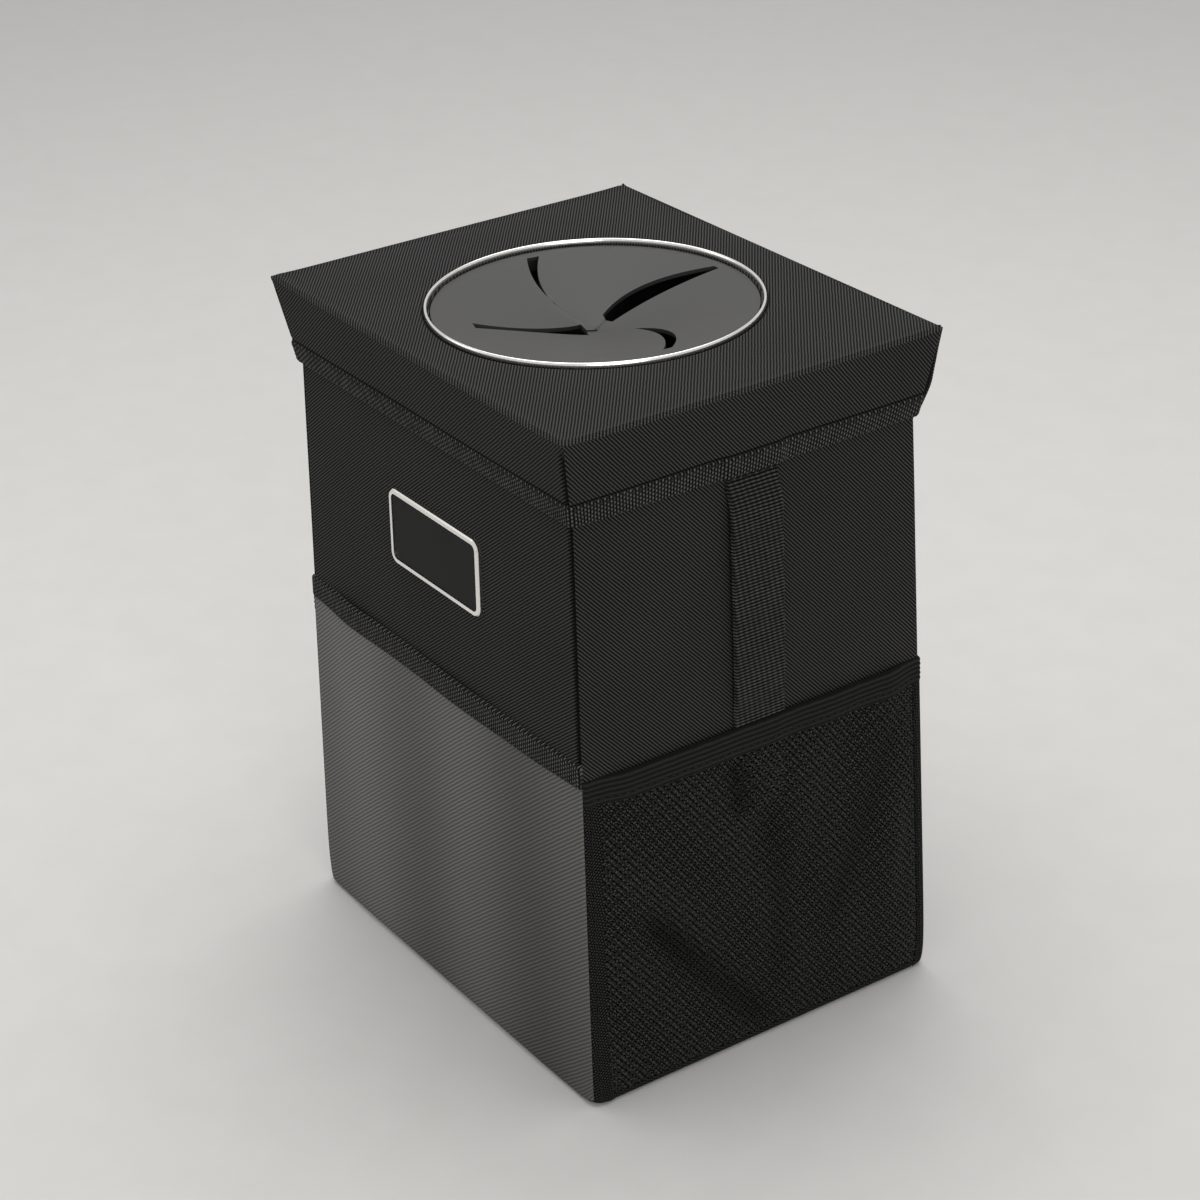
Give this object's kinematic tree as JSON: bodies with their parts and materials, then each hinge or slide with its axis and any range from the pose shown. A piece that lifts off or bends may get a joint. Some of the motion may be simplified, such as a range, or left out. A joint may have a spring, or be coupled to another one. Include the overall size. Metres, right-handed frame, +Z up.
{
  "type": "car trash bin",
  "caption": "Soft-sided car trash bin with twill walls, front and side pockets, webbing loops, and a hinged lid whose rubber mouth has curved slits in a bright ring.",
  "frame": {"origin": "middle of the flat base, on the floor", "axes": "+Z up, -Y out of the front with the badge and the twill pocket, +Y towards the lid's hinge"},
  "size_m": [0.2188, 0.1707, 0.2797],
  "materials": {
    "black_twill": "matte woven twill",
    "grey_twill": "matte woven twill",
    "binding_tape": "ribbed woven tape",
    "black_mesh": "knitted open mesh",
    "elastic": "ribbed elastic",
    "webbing": "ribbed webbing",
    "stiff_board": "extruded board",
    "liner_film": "satin film",
    "lid_lining": "coated cloth",
    "hook_and_loop": "napped",
    "silver_trim": "satin bright",
    "badge_inlay": "satin",
    "clamp_plastic": "moulded",
    "grey_rubber": "matte moulded"
  },
  "bodies": {
    "bin": {"front_panel": "black_twill", "rear_panel": "black_twill", "left_panel": "black_twill", "right_panel": "black_twill", "base_panel": "black_twill", "hinge_flap": "black_twill", "front_pocket": "grey_twill", "front_pocket_binding": "binding_tape", "rim_binding": "binding_tape", "right_mesh_pocket": "black_mesh", "left_mesh_pocket": "black_mesh", "right_elastic": "elastic", "left_elastic": "elastic", "right_strap": "webbing", "left_strap": "webbing", "front_board": "stiff_board", "rear_board": "stiff_board", "left_board": "stiff_board", "right_board": "stiff_board", "base_board": "stiff_board", "liner": "liner_film", "closure_loop": "hook_and_loop", "badge_frame": "silver_trim", "badge_insert": "badge_inlay"},
    "lid": {"lid_cover": "black_twill", "lid_board": "stiff_board", "lid_lining": "lid_lining", "skirt_front": "black_twill", "skirt_left": "black_twill", "skirt_right": "black_twill", "skirt_binding": "binding_tape", "trim_ring": "silver_trim", "clamp_ring": "clamp_plastic", "iris_membrane": "grey_rubber", "closure_hook": "hook_and_loop"}
  },
  "joints": [
    {"name": "lid_hinge", "type": "hinge", "parent": "bin", "child": "lid", "pos_m": [0, 0.0835, 0.278], "axis": [-1, 0, 0], "range_deg": [0, 115]}
  ]
}
